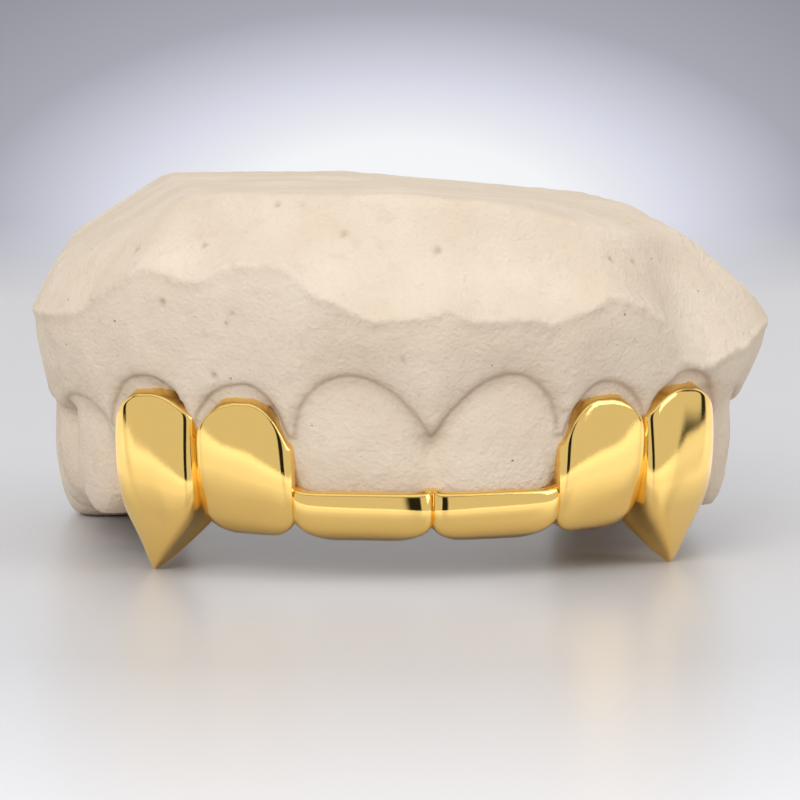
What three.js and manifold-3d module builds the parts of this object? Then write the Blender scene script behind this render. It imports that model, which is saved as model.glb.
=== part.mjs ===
// A gold grill with two fang caps on the stone cast of an upper jaw that it was made for.
// Millimetres. The cast stands teeth down on the fang tips and the last molars, and its front faces -Y.

import * as THREE from 'three';
import { ParametricGeometry } from 'three/addons/geometries/ParametricGeometry.js';
import { mergeVertices } from 'three/addons/utils/BufferGeometryUtils.js';
import Module from 'manifold-3d';

// The tooth line, which runs through the biting edges: a half ellipse in front and two straight sides behind
const ARCH_WIDTH = 43.6;
const ARCH_DEPTH = 19;
const SIDE_LENGTH = 24;

// Heights above the surface that the fang tips stand on
const CAST_HEIGHT = 25.2;
const ROLL_HEIGHT = 17.4;
const PAPILLA_HEIGHT = 9.4;
const BAR_TOP = 6.0;

// The grill
const WALL = 0.6;
const CLEARANCE = 0.3;
const SOLDER = 0.3;

// The cast
const ROLL_REACH = 4.0;
const BASE_INSET = 4.5;
const GUM_REACH = 1.9;
const GUM_LEDGE = 0.3;
const TOOTH_CONTACT = 0.1;
const HEEL_REACH = 2.5;
const TOP_FLAT_END = -1;
const TOP_FALL = 0.09;
const FRONT_CREASE = 2.5;
const FRONT_FALL_X = 0.27;
const FRONT_FALL_Y = 0.1;
const LEFT_SHOULDER = 6.8;
const LEFT_SLOPE = 0.62;
const RIGHT_SHOULDER = 4.6;
const RIGHT_SLOPE = 0.85;
const PALATE_WIDTH = 29;
const PALATE_LENGTH = 46;
const PALATE_DEPTH = 10.5;

const METAL = new THREE.MeshStandardMaterial({ color: 0xd9a93f, roughness: 0.12, metalness: 1 });
const STONE = new THREE.MeshStandardMaterial({ color: 0xdccfbd, roughness: 0.85, metalness: 0 });

// Sections of each kind of crown, from the biting end up into the gum: share of the height up to the gum,
// then shares of the half width and of the reach to the front and to the palate, and the lean to the far side
const INCISOR = [
	{ up: 0.00, width: 0.66, front: 0.14, palate: 0.03, lean: 0.00 },
	{ up: 0.02, width: 0.80, front: 0.32, palate: 0.13, lean: 0.00 },
	{ up: 0.06, width: 0.92, front: 0.50, palate: 0.21, lean: 0.00 },
	{ up: 0.13, width: 0.985, front: 0.66, palate: 0.29, lean: 0.00 },
	{ up: 0.25, width: 1.00, front: 0.83, palate: 0.40, lean: 0.00 },
	{ up: 0.42, width: 1.00, front: 0.95, palate: 0.56, lean: 0.01 },
	{ up: 0.60, width: 0.99, front: 1.00, palate: 0.76, lean: 0.02 },
	{ up: 0.80, width: 0.97, front: 1.00, palate: 0.93, lean: 0.04 },
	{ up: 1.05, width: 0.92, front: 0.97, palate: 1.00, lean: 0.05 },
	{ up: 1.45, width: 0.70, front: 0.70, palate: 0.80, lean: 0.05 },
];
const STONE_INCISOR = [
	{ up: 0.00, width: 0.72, front: 0.46, palate: 0.26, lean: 0.00 },
	{ up: 0.05, width: 0.92, front: 0.62, palate: 0.34, lean: 0.00 },
	{ up: 0.18, width: 1.00, front: 0.82, palate: 0.46, lean: 0.00 },
	{ up: 0.38, width: 1.00, front: 0.95, palate: 0.64, lean: 0.01 },
	{ up: 0.62, width: 0.99, front: 1.00, palate: 0.83, lean: 0.03 },
	{ up: 1.05, width: 0.90, front: 0.98, palate: 1.00, lean: 0.05 },
	{ up: 1.45, width: 0.66, front: 0.70, palate: 0.80, lean: 0.05 },
];
const FANG = [
	{ up: 0.00, width: 0.02, front: 0.24, palate: -0.12, lean: 0.06 },
	{ up: 0.03, width: 0.11, front: 0.36, palate: 0.00, lean: 0.05 },
	{ up: 0.10, width: 0.29, front: 0.50, palate: 0.14, lean: 0.03 },
	{ up: 0.19, width: 0.55, front: 0.64, palate: 0.28, lean: 0.01 },
	{ up: 0.28, width: 0.80, front: 0.77, palate: 0.42, lean: 0.00 },
	{ up: 0.36, width: 0.95, front: 0.87, palate: 0.53, lean: 0.00 },
	{ up: 0.46, width: 1.00, front: 0.95, palate: 0.65, lean: 0.00 },
	{ up: 0.60, width: 1.00, front: 1.00, palate: 0.80, lean: 0.01 },
	{ up: 0.80, width: 0.97, front: 1.00, palate: 0.95, lean: 0.02 },
	{ up: 1.05, width: 0.90, front: 0.96, palate: 1.00, lean: 0.03 },
	{ up: 1.45, width: 0.70, front: 0.72, palate: 0.80, lean: 0.03 },
];
const CANINE = [
	{ up: 0.00, width: 0.30, front: 0.50, palate: 0.24, lean: 0.00 },
	{ up: 0.07, width: 0.58, front: 0.64, palate: 0.34, lean: 0.00 },
	{ up: 0.20, width: 0.88, front: 0.80, palate: 0.50, lean: 0.00 },
	{ up: 0.40, width: 1.00, front: 0.95, palate: 0.72, lean: 0.01 },
	{ up: 0.70, width: 0.98, front: 1.00, palate: 0.93, lean: 0.02 },
	{ up: 1.05, width: 0.88, front: 0.96, palate: 1.00, lean: 0.03 },
	{ up: 1.45, width: 0.66, front: 0.72, palate: 0.80, lean: 0.03 },
];
const MOLAR = [
	{ up: 0.00, width: 0.40, front: 0.06, palate: 0.42, lean: 0.00 },
	{ up: 0.03, width: 0.62, front: 0.32, palate: 0.62, lean: 0.00 },
	{ up: 0.12, width: 0.84, front: 0.60, palate: 0.82, lean: 0.00 },
	{ up: 0.28, width: 0.97, front: 0.84, palate: 0.96, lean: 0.00 },
	{ up: 0.50, width: 1.00, front: 1.00, palate: 1.00, lean: 0.00 },
	{ up: 0.80, width: 0.95, front: 1.00, palate: 0.97, lean: 0.00 },
	{ up: 1.05, width: 0.86, front: 0.92, palate: 0.90, lean: 0.00 },
	{ up: 1.45, width: 0.66, front: 0.70, palate: 0.70, lean: 0.00 },
];

// One row for each tooth of a side, from the midline back. Left is its width's share on the left side, which
// differs a little, and leftLean the share of its lean there. The bottom is the biting end of what shows, metal
// or stone, and bare is the stone tooth's own. Curl is how much higher the biting edge ends at the far corner.
// Top is how high the crown or its cap reaches, and gum the height of the gum line over it. Apex is how far to
// the far side both arches peak, and arch where the gum's ends, as shares of the half width. Near and far are
// the shares of the height where the arch of a full cap starts at its two sides. Bow is the roundness of the
// sections, and swell is how far the root swells the gum.
const TEETH = [
	{ wear: 'bar', width: 8.3, left: 1.05, leftLean: 1, bottom: 2.6, curl: 0.7, bare: 3.6, top: 13.3, gum: 13.5,
		apex: 0.15, arch: 0.9, near: 0, far: 0, front: 3.0, palate: 5.4, bow: 3.6,
		swell: 0.3, shape: INCISOR, stone: STONE_INCISOR },
	{ wear: 'cap', width: 6.1, left: 1.01, leftLean: 1, bottom: 2.8, curl: 0.8, bare: 3.8, top: 12.2, gum: 12.8,
		apex: -0.12, arch: 1, near: 0.55, far: 0.74, front: 2.9, palate: 5.0, bow: 2.8,
		swell: 0.3, shape: INCISOR, stone: STONE_INCISOR },
	{ wear: 'cap', width: 7.3, left: 0.92, leftLean: 2, bottom: 0.0, curl: 0.0, bare: 3.4, top: 12.5, gum: 13.1,
		apex: -0.14, arch: 1, near: 0.72, far: 0.68, front: 3.4, palate: 5.2, bow: 2.4,
		swell: 1.1, shape: FANG, stone: CANINE },
	{ wear: 'none', width: 6.9, left: 1.0, leftLean: 1, bottom: 3.1, curl: 0.0, bare: 3.1, top: 11.2, gum: 11.2,
		apex: 0.1, arch: 1, near: 0, far: 0, front: 2.0, palate: 6.6, bow: 2.5,
		swell: 0.2, shape: CANINE, stone: CANINE },
	{ wear: 'none', width: 6.7, left: 1.0, leftLean: 1, bottom: 3.2, curl: 0.0, bare: 3.2, top: 10.5, gum: 10.5,
		apex: 0.1, arch: 1, near: 0, far: 0, front: 2.0, palate: 6.8, bow: 2.6,
		swell: 0.2, shape: MOLAR, stone: MOLAR },
	{ wear: 'none', width: 9.6, left: 1.0, leftLean: 1, bottom: 1.8, curl: 0.0, bare: 1.8, top: 9.9, gum: 9.9,
		apex: 0.1, arch: 1, near: 0, far: 0, front: 1.9, palate: 8.2, bow: 3.0,
		swell: 0.3, shape: MOLAR, stone: MOLAR },
	{ wear: 'none', width: 9.2, left: 1.0, leftLean: 1, bottom: 0.0, curl: 0.0, bare: 0.0, top: 9.6, gum: 9.6,
		apex: 0.1, arch: 1, near: 0, far: 0, front: 1.9, palate: 8.2, bow: 3.0,
		swell: 0.3, shape: MOLAR, stone: MOLAR },
];

// The biting edge's lift at the near corner, as a share of the far corner's curl
const NEAR_CURL = 0.5;

// The roll where base and gum meet, from the left end of the tooth line (minus) to the right: share of the
// line's half length, shares of the roll's height and reach, and of how far the base's top edge lies inside
const ROLL = [
	{ along: -1.00, height: 0.94, reach: 0.55, inset: 1.00 },
	{ along: -0.60, height: 0.95, reach: 0.90, inset: 1.00 },
	{ along: -0.47, height: 0.96, reach: 0.98, inset: 1.00 },
	{ along: -0.41, height: 0.98, reach: 1.00, inset: 0.75 },
	{ along: -0.355, height: 1.09, reach: 0.98, inset: 0.45 },
	{ along: -0.31, height: 1.17, reach: 1.02, inset: 0.25 },
	{ along: -0.25, height: 1.125, reach: 1.00, inset: 0.12 },
	{ along: -0.20, height: 1.19, reach: 1.00, inset: 0.12 },
	{ along: -0.155, height: 1.185, reach: 1.00, inset: 0.12 },
	{ along: -0.11, height: 1.07, reach: 1.00, inset: 0.12 },
	{ along: -0.06, height: 0.99, reach: 1.00, inset: 0.12 },
	{ along: -0.02, height: 0.995, reach: 1.02, inset: 0.12 },
	{ along: 0.01, height: 1.03, reach: 1.04, inset: 0.12 },
	{ along: 0.04, height: 0.985, reach: 1.00, inset: 0.12 },
	{ along: 0.10, height: 0.99, reach: 0.98, inset: 0.12 },
	{ along: 0.12, height: 0.97, reach: 0.98, inset: 0.12 },
	{ along: 0.155, height: 1.01, reach: 1.00, inset: 0.12 },
	{ along: 0.19, height: 1.065, reach: 1.04, inset: 0.12 },
	{ along: 0.23, height: 1.02, reach: 1.00, inset: 0.12 },
	{ along: 0.26, height: 0.965, reach: 0.92, inset: 0.12 },
	{ along: 0.30, height: 0.80, reach: 0.78, inset: 0.25 },
	{ along: 0.34, height: 0.76, reach: 0.74, inset: 0.45 },
	{ along: 0.40, height: 0.82, reach: 0.96, inset: 0.75 },
	{ along: 0.47, height: 0.90, reach: 1.10, inset: 1.00 },
	{ along: 0.60, height: 0.93, reach: 0.96, inset: 1.00 },
	{ along: 1.00, height: 0.92, reach: 0.55, inset: 1.00 },
];

// Rings of the cast from the middle of its underside, out round the gum and in over the top. Each lies
// between two heights (gum line, roll, top edge) and two reaches (tooth line, gum, roll, top edge) by shares,
// with a share of its own at the sides, where the base is rounder.
const RINGS = [
	{ from: 'gum', to: 'roll', up: 0.10, inner: 'line', outer: 'gum', front: -3.0, side: -3.0 },
	{ from: 'gum', to: 'roll', up: 0.02, inner: 'line', outer: 'gum', front: 0.2, side: 0.2 },
	{ from: 'gum', to: 'roll', up: 0.00, inner: 'line', outer: 'gum', front: 0.9, side: 0.9 },
	{ from: 'gum', to: 'roll', up: 0.06, inner: 'line', outer: 'gum', front: 1.0, side: 1.0 },
	{ from: 'gum', to: 'roll', up: 0.35, inner: 'gum', outer: 'roll', front: 0.42, side: 0.45 },
	{ from: 'gum', to: 'roll', up: 0.75, inner: 'gum', outer: 'roll', front: 0.82, side: 0.85 },
	{ from: 'gum', to: 'roll', up: 0.96, inner: 'gum', outer: 'roll', front: 1.0, side: 1.0 },
	{ from: 'roll', to: 'top', up: 0.03, inner: 'roll', outer: 'top', front: 0.05, side: 0.01 },
	{ from: 'roll', to: 'top', up: 0.20, inner: 'roll', outer: 'top', front: 0.34, side: 0.10 },
	{ from: 'roll', to: 'top', up: 0.48, inner: 'roll', outer: 'top', front: 0.64, side: 0.27 },
	{ from: 'roll', to: 'top', up: 0.78, inner: 'roll', outer: 'top', front: 0.86, side: 0.64 },
	{ from: 'roll', to: 'top', up: 1.00, inner: 'roll', outer: 'top', front: 1.0, side: 1.0 },
];

// Facets
const AROUND_METAL = 20;
const AROUND_STONE = 14;
const ALONG_CAST = 80;
const ACROSS_HEEL = 8;
const RIM_FACETS = 6;
const ARC_STEPS = 200;
const WELD = 1e-4;

const wasm = await Module();
wasm.setup();

// The quarter of the front ellipse, measured once, so that teeth can be set along it by true length
const HALF = ARCH_WIDTH / 2;
const arcTable = [{ length: 0, angle: 0 }];
for (let step = 1; step <= ARC_STEPS; step += 1) {
	const angle = (Math.PI / 2) * (step / ARC_STEPS);
	const middle = angle - Math.PI / ARC_STEPS / 4;
	const speed = Math.hypot(HALF * Math.cos(middle), ARCH_DEPTH * Math.sin(middle));
	arcTable.push({ length: arcTable[step - 1].length + (speed * Math.PI) / 2 / ARC_STEPS, angle });
}
const ARC_LENGTH = arcTable[ARC_STEPS].length;
const HALF_LINE = ARC_LENGTH + SIDE_LENGTH;

// Value of a named column between the rows of a table, eased so that it has no kinks
function between(rows, key, at, column) {
	let index = 0;
	while (index < rows.length - 2 && rows[index + 1][key] < at) index += 1;
	const low = rows[index];
	const high = rows[index + 1];
	const share = (at - low[key]) / (high[key] - low[key]);
	return low[column] + (high[column] - low[column]) * share * share * (3 - 2 * share);
}

// The place and the outward turn of the tooth line at a signed length from the midline
function onLine(along) {
	const side = Math.sign(along);
	const length = Math.abs(along);
	let angle = Math.PI / 2;
	let back = length - ARC_LENGTH;
	if (back < 0) {
		let index = 1;
		while (arcTable[index].length < length) index += 1;
		const low = arcTable[index - 1];
		const share = (length - low.length) / (arcTable[index].length - low.length);
		angle = low.angle + (arcTable[index].angle - low.angle) * share;
		back = 0;
	}
	const turn = Math.atan2(ARCH_DEPTH * Math.sin(angle), HALF * Math.cos(angle));
	const x = side * HALF * Math.sin(angle);
	const y = back - ARCH_DEPTH * Math.cos(angle);
	return { x, y, turn: side * turn };
}

const LEFT = teethOf(-1);
const RIGHT = teethOf(1);

// A closed geometry as a solid, turned right side out where a mirror has turned it inside out
function solidOf(geometry, mirrored = false) {
	const bare = geometry.clone();
	bare.deleteAttribute('normal');
	bare.deleteAttribute('uv');
	const welded = mergeVertices(bare, WELD);
	const index = welded.index.array;
	const triangles = [];
	for (let at = 0; at < index.length; at += 3) {
		const [a, b, c] = index.slice(at, at + 3);
		if (a === b || b === c || c === a) continue;
		triangles.push(a, mirrored ? c : b, mirrored ? b : c);
	}
	return new wasm.Manifold(new wasm.Mesh({
		numProp: 3,
		vertProperties: new Float32Array(welded.attributes.position.array),
		triVerts: new Uint32Array(triangles),
	}));
}

function geometryOf(solid) {
	const mesh = solid.getMesh();
	const geometry = new THREE.BufferGeometry();
	geometry.setAttribute('position', new THREE.BufferAttribute(mesh.vertProperties, 3));
	geometry.setIndex(new THREE.BufferAttribute(mesh.triVerts, 1));
	geometry.computeVertexNormals();
	return geometry;
}

function joined(solids) {
	return solids.reduce((whole, solid) => whole.add(solid));
}

// The teeth of one side with their true widths and places along the line
function teethOf(side) {
	let start = 0;
	return TEETH.map((row) => {
		const width = row.width * (side < 0 ? row.left : 1);
		const lean = width * (side < 0 ? row.leftLean : 1);
		start += width;
		return { ...row, side, width, lean, middle: start - width / 2 };
	});
}

// Moves a geometry from a tooth's own frame (X to the far side, -Y out, Z up) to its place on the line
function seat(geometry, tooth) {
	const place = onLine(tooth.middle);
	const matrix = new THREE.Matrix4().makeRotationZ(place.turn);
	matrix.setPosition(place.x, place.y, 0);
	geometry.applyMatrix4(matrix);
	geometry.scale(tooth.side, 1, 1);
	return solidOf(geometry, tooth.side < 0);
}

// A crown and the root above it. Grow moves its front and back, sides moves its flanks.
function crown(tooth, sections, bottom, grow, sides, facets) {
	const rows = [sections[0], ...sections, sections[sections.length - 1]];
	const last = rows.length - 1;
	const half = tooth.width / 2 + sides;
	const bend = 2 / tooth.bow;
	const point = (u, v, target) => {
		const level = Math.round(v * last);
		const row = rows[level];
		const open = level === 0 || level === last ? 0 : 1;
		const turn = -2 * Math.PI * u;
		const across = Math.cos(turn);
		const out = Math.sin(turn);
		const middle = (row.front * tooth.front - row.palate * tooth.palate) / 2;
		const depth = (row.front * tooth.front + row.palate * tooth.palate) / 2 + grow;
		const x = Math.sign(across) * Math.abs(across) ** bend * row.width * half;
		const lift = tooth.curl * (across < 0 ? NEAR_CURL : 1) * Math.abs(across) ** 3 * (1 - row.up) ** 2;
		const n = Math.sign(out) * Math.abs(out) ** bend * depth;
		target.set(
			open * x + row.lean * tooth.lean,
			-middle - open * n,
			bottom + row.up * (tooth.top - bottom) + open * lift,
		);
	};
	return new ParametricGeometry(point, facets, last);
}

// What of a crown the metal covers: all below the gum's arch, or all below the bar's straight top
function cover(tooth, grow) {
	const reach = tooth.width / 2 + SOLDER / 2 + grow;
	const deep = tooth.palate + tooth.front + 2 * grow;
	const foot = -tooth.top;
	const shape = new THREE.Shape();
	shape.moveTo(-reach, foot);
	shape.lineTo(reach, foot);
	if (tooth.wear === 'bar') {
		shape.lineTo(reach, BAR_TOP + grow);
		shape.lineTo(-reach, BAR_TOP + grow);
	} else {
		const apex = (tooth.apex * tooth.width) / 2;
		const top = tooth.top + grow;
		const near = tooth.top * tooth.near;
		const far = tooth.top * tooth.far;
		shape.lineTo(reach, far);
		shape.absellipse(apex, far, reach - apex, top - far, 0, Math.PI / 2, false);
		shape.absellipse(apex, near, reach + apex, top - near, Math.PI / 2, Math.PI, false);
	}
	shape.closePath();
	const settings = { depth: 2 * deep, bevelEnabled: false, curveSegments: RIM_FACETS };
	const geometry = new THREE.ExtrudeGeometry(shape, settings);
	geometry.rotateX(Math.PI / 2);
	geometry.translate(0, deep, 0);
	return geometry;
}

function metalOutside(tooth, grow) {
	const whole = seat(crown(tooth, tooth.shape, tooth.bottom, grow, SOLDER / 2 + grow, AROUND_METAL), tooth);
	return whole.intersect(seat(cover(tooth, grow), tooth));
}

// The stone tooth, or the room for it when room is its clearance
function stoneTooth(tooth, room) {
	const skin = tooth.wear === 'none' ? 0 : WALL + CLEARANCE;
	const flank = tooth.wear === 'cap' ? skin - SOLDER / 2 : -TOOTH_CONTACT / 2;
	return seat(crown(tooth, tooth.stone, tooth.bare - room, room - skin, room - flank, AROUND_STONE), tooth);
}

// The full caps keep their walls whole beside the bare teeth, which are cut clear of them
function fangGrill(teeth) {
	const metal = (worn) => joined(worn.map((tooth) => metalOutside(tooth, 0)));
	const rooms = (worn) => joined(worn.map((tooth) => stoneTooth(tooth, CLEARANCE)));
	const bars = teeth.filter((tooth) => tooth.wear === 'bar');
	const caps = teeth.filter((tooth) => tooth.wear === 'cap');
	return metal(bars).subtract(rooms(bars)).add(metal(caps)).subtract(rooms(caps));
}

// The gum line's height and the gum's swell over the roots, at a signed length along the line. Its arches are
// round on the far side of each apex and steeper on the near side.
function gumAt(along) {
	for (const tooth of along < 0 ? LEFT : RIGHT) {
		const share = (Math.abs(along) - tooth.middle) / (tooth.width / 2);
		if (share < 1) {
			const off = share - tooth.apex;
			const far = Math.sqrt(Math.max(1 - (off / (tooth.arch - tooth.apex)) ** 2, 0));
			const arch = off < 0 ? 1 - (off / (1 + tooth.apex)) ** 2 : far;
			const swell = Math.cos((share * Math.PI) / 2) ** 2 * tooth.swell;
			return { height: PAPILLA_HEIGHT + (tooth.gum - PAPILLA_HEIGHT) * arch, reach: GUM_REACH + swell };
		}
	}
	return { height: PAPILLA_HEIGHT, reach: GUM_REACH };
}

// The solid block of base and gum, before the caps' room and the palate are cut from it
function castBody() {
	const rows = [RINGS[0], ...RINGS, RINGS[RINGS.length - 1]];
	const last = rows.length - 1;
	const slices = ALONG_CAST + ACROSS_HEEL;
	const point = (u, v, target) => {
		const level = Math.round(v * last);
		const row = rows[level];
		const step = Math.round(u * slices) % slices;
		const onFront = step <= ALONG_CAST;
		const share = onFront ? (2 * step) / ALONG_CAST - 1 : 1 - (2 * (step - ALONG_CAST)) / ACROSS_HEEL;
		const along = share * HALF_LINE;
		const rollShare = onFront ? share : Math.sign(share || 1);
		const gum = gumAt(onFront ? along : HALF_LINE);
		const inset = between(ROLL, 'along', rollShare, 'inset');
		const heights = {
			gum: gum.height,
			roll: ROLL_HEIGHT * between(ROLL, 'along', rollShare, 'height'),
			top: CAST_HEIGHT,
		};
		const reaches = {
			line: 0,
			gum: gum.reach + GUM_LEDGE,
			roll: ROLL_REACH * between(ROLL, 'along', rollShare, 'reach'),
			top: -BASE_INSET * inset,
		};
		const ringShare = row.front + (row.side - row.front) * inset;
		const out = reaches[row.inner] + (reaches[row.outer] - reaches[row.inner]) * ringShare;
		const z = heights[row.from] + (heights[row.to] - heights[row.from]) * row.up;
		const place = onLine(onFront ? along : Math.sign(share || 1) * HALF_LINE);
		const squash = onFront ? 1 : Math.abs(share);
		const x = (place.x + Math.sin(place.turn) * out) * squash;
		const y = place.y - Math.cos(place.turn) * out + (onFront ? 0 : HEEL_REACH * Math.sqrt(1 - share * share));
		const middleY = (SIDE_LENGTH - ARCH_DEPTH) / 2;
		const open = level === 0 || level === last ? 0 : 1;
		target.set(open * x, middleY + open * (y - middleY), z);
		if (!open) target.z = level === 0 ? TEETH[0].gum : CAST_HEIGHT;
	};
	return solidOf(new ParametricGeometry(point, slices, last));
}

// A block whose flat underside passes through a point and rises or falls by the slopes
function cut(slopeX, slopeY, x, y, z) {
	const size = 2 * (ARCH_WIDTH + SIDE_LENGTH);
	const block = new THREE.BoxGeometry(size, size, size);
	block.translate(0, 0, size / 2);
	const normal = new THREE.Vector3(-slopeX, -slopeY, 1).normalize();
	block.applyQuaternion(new THREE.Quaternion().setFromUnitVectors(new THREE.Vector3(0, 0, 1), normal));
	block.translate(x, y, z);
	return solidOf(block);
}

// The trimmed top falls away to the right, more so in front, and down over both shoulders
function trimmings() {
	const shoulder = HALF - RIGHT_SHOULDER;
	const fall = TOP_FALL * (shoulder - TOP_FLAT_END);
	return joined([
		cut(-TOP_FALL, 0, TOP_FLAT_END, 0, CAST_HEIGHT),
		cut(-FRONT_FALL_X, FRONT_FALL_Y, FRONT_CREASE, -ARCH_DEPTH, CAST_HEIGHT),
		cut(LEFT_SLOPE, 0, LEFT_SHOULDER - HALF, 0, CAST_HEIGHT),
		cut(-RIGHT_SLOPE, 0, shoulder, 0, CAST_HEIGHT - fall),
	]);
}

function palate() {
	const dome = new THREE.SphereGeometry(0.5, 20, 12);
	dome.scale(PALATE_WIDTH, PALATE_LENGTH, 2 * PALATE_DEPTH);
	dome.translate(0, SIDE_LENGTH - PALATE_LENGTH / 4, PAPILLA_HEIGHT);
	return solidOf(dome);
}

function dentalCast(teeth) {
	const worn = teeth.filter((tooth) => tooth.wear === 'cap');
	const open = teeth.filter((tooth) => tooth.wear !== 'cap');
	const block = castBody().subtract(trimmings()).subtract(palate());
	const room = joined(worn.map((tooth) => metalOutside(tooth, CLEARANCE)));
	const bare = joined([block, ...open.map((tooth) => stoneTooth(tooth, 0))]).subtract(room);
	return joined([bare, ...worn.map((tooth) => stoneTooth(tooth, 0))]);
}

function piece(name, solid, material) {
	const mesh = new THREE.Mesh(geometryOf(solid), material);
	mesh.name = name;
	return mesh;
}

const teeth = [...LEFT, ...RIGHT];
const part = new THREE.Group();
part.add(piece('fang_grill', fangGrill(teeth), METAL));
part.add(piece('dental_cast', dentalCast(teeth), STONE));

// The origin is the middle of the footprint, on the surface that the part stands on
const box = new THREE.Box3().setFromObject(part);
const middle = box.getCenter(new THREE.Vector3());
part.position.set(-middle.x, -middle.y, -box.min.z);

export default part;
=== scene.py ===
"""The looks of a gold fang grill on the stone cast that it was made for.

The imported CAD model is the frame. The grill is modelled again as smooth polished caps, and the cast gets the
worn surface of poured stone. Shapes are worked out in millimetres along the tooth line, and meshes end in
metres.
"""

import math

import bmesh
import bpy
import numpy as np
from bpy.props import FloatProperty, FloatVectorProperty, PointerProperty
from mathutils import Matrix, Vector, noise
from mathutils.bvhtree import BVHTree
from mathutils.kdtree import KDTree


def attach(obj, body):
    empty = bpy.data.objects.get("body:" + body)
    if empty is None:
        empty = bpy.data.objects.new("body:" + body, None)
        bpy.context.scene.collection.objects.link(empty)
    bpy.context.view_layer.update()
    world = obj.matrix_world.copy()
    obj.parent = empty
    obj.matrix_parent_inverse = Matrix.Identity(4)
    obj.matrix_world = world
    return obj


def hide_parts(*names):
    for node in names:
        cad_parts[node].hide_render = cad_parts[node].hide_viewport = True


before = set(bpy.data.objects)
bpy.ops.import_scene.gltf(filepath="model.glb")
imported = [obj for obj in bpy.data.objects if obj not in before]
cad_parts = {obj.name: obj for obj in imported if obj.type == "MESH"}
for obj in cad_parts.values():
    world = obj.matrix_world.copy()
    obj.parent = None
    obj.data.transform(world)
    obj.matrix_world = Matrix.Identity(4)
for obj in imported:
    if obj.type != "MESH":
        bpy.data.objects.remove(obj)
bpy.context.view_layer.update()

bl_info = {
    "name": "Fang grill on a dental cast",
    "version": (1, 0, 0),
    "blender": (4, 5, 0),
    "location": "View3D > Sidebar > Fang Grill",
    "description": "Makes a polished gold fang grill, its stone cast and a studio round them",
    "category": "Object",
}

MM = 0.001

# The tooth line, which runs through the biting edges: a half ellipse in front and two straight sides behind
ARCH_WIDTH = 43.6
ARCH_DEPTH = 19.0
SIDE_LENGTH = 24.0
LINE_PLACE = (-0.159, -1.680, 0.0)

# The grill. A cap's face ends in a crisp edge, and a slanted band runs from there down to the stone.
BAR_TOP = 6.0
SOLDER = 0.4
NEAR_CURL = 0.5
TWIST_AT = 0.45
FLARE_AT_RIM = 0.75
RIM_SLOPE = 1.2
RIM_EDGE = 0.09
INSIDE_SKIN = 0.85
FANG_FLOOR = 0.42
CAP_FLOOR = 0.2
UNEVEN_DEPTH = 0.02
UNEVEN_SIZE = 2.6

# The cast: its gum line and the roll where base and gum meet
PAPILLA_HEIGHT = 9.4
ROLL_HEIGHT = 17.4

# Sections of each cap, from the biting end up: share of its height, shares of its half width and of its reach
# to the front and to the palate, and its lean to the far side
INCISOR_CAP = [
    {"up": 0.00, "width": 0.66, "front": 0.14, "palate": 0.03, "lean": 0.00},
    {"up": 0.02, "width": 0.80, "front": 0.32, "palate": 0.13, "lean": 0.00},
    {"up": 0.06, "width": 0.92, "front": 0.50, "palate": 0.21, "lean": 0.00},
    {"up": 0.13, "width": 0.985, "front": 0.66, "palate": 0.29, "lean": 0.00},
    {"up": 0.25, "width": 1.00, "front": 0.86, "palate": 0.40, "lean": 0.00},
    {"up": 0.42, "width": 1.00, "front": 0.98, "palate": 0.56, "lean": 0.01},
    {"up": 0.60, "width": 0.99, "front": 1.00, "palate": 0.76, "lean": 0.02},
    {"up": 0.80, "width": 0.97, "front": 0.93, "palate": 0.93, "lean": 0.04},
    {"up": 1.05, "width": 0.92, "front": 0.80, "palate": 1.00, "lean": 0.05},
]
BAR_CAP = [
    {"up": 0.00, "width": 0.70, "front": 0.18, "palate": 0.03, "lean": 0.00},
    {"up": 0.02, "width": 0.84, "front": 0.44, "palate": 0.13, "lean": 0.00},
    {"up": 0.05, "width": 0.94, "front": 0.64, "palate": 0.20, "lean": 0.00},
    {"up": 0.09, "width": 0.985, "front": 0.77, "palate": 0.26, "lean": 0.00},
    {"up": 0.14, "width": 1.00, "front": 0.86, "palate": 0.31, "lean": 0.00},
    {"up": 0.20, "width": 1.00, "front": 0.895, "palate": 0.36, "lean": 0.00},
    {"up": 0.26, "width": 1.00, "front": 0.875, "palate": 0.42, "lean": 0.01},
    {"up": 0.34, "width": 1.00, "front": 0.79, "palate": 0.50, "lean": 0.01},
    {"up": 0.60, "width": 0.99, "front": 0.60, "palate": 0.76, "lean": 0.02},
]
FANG_CAP = [
    {"up": 0.00, "width": 0.02, "front": 0.24, "palate": -0.12, "lean": 0.06},
    {"up": 0.03, "width": 0.11, "front": 0.36, "palate": 0.00, "lean": 0.05},
    {"up": 0.10, "width": 0.29, "front": 0.50, "palate": 0.14, "lean": 0.03},
    {"up": 0.19, "width": 0.55, "front": 0.64, "palate": 0.28, "lean": 0.01},
    {"up": 0.28, "width": 0.80, "front": 0.77, "palate": 0.42, "lean": 0.00},
    {"up": 0.36, "width": 0.95, "front": 0.87, "palate": 0.53, "lean": 0.00},
    {"up": 0.46, "width": 1.00, "front": 0.95, "palate": 0.65, "lean": 0.00},
    {"up": 0.60, "width": 1.00, "front": 0.99, "palate": 0.80, "lean": 0.01},
    {"up": 0.80, "width": 0.97, "front": 0.95, "palate": 0.95, "lean": 0.02},
    {"up": 1.05, "width": 0.90, "front": 0.82, "palate": 1.00, "lean": 0.03},
]

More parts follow.
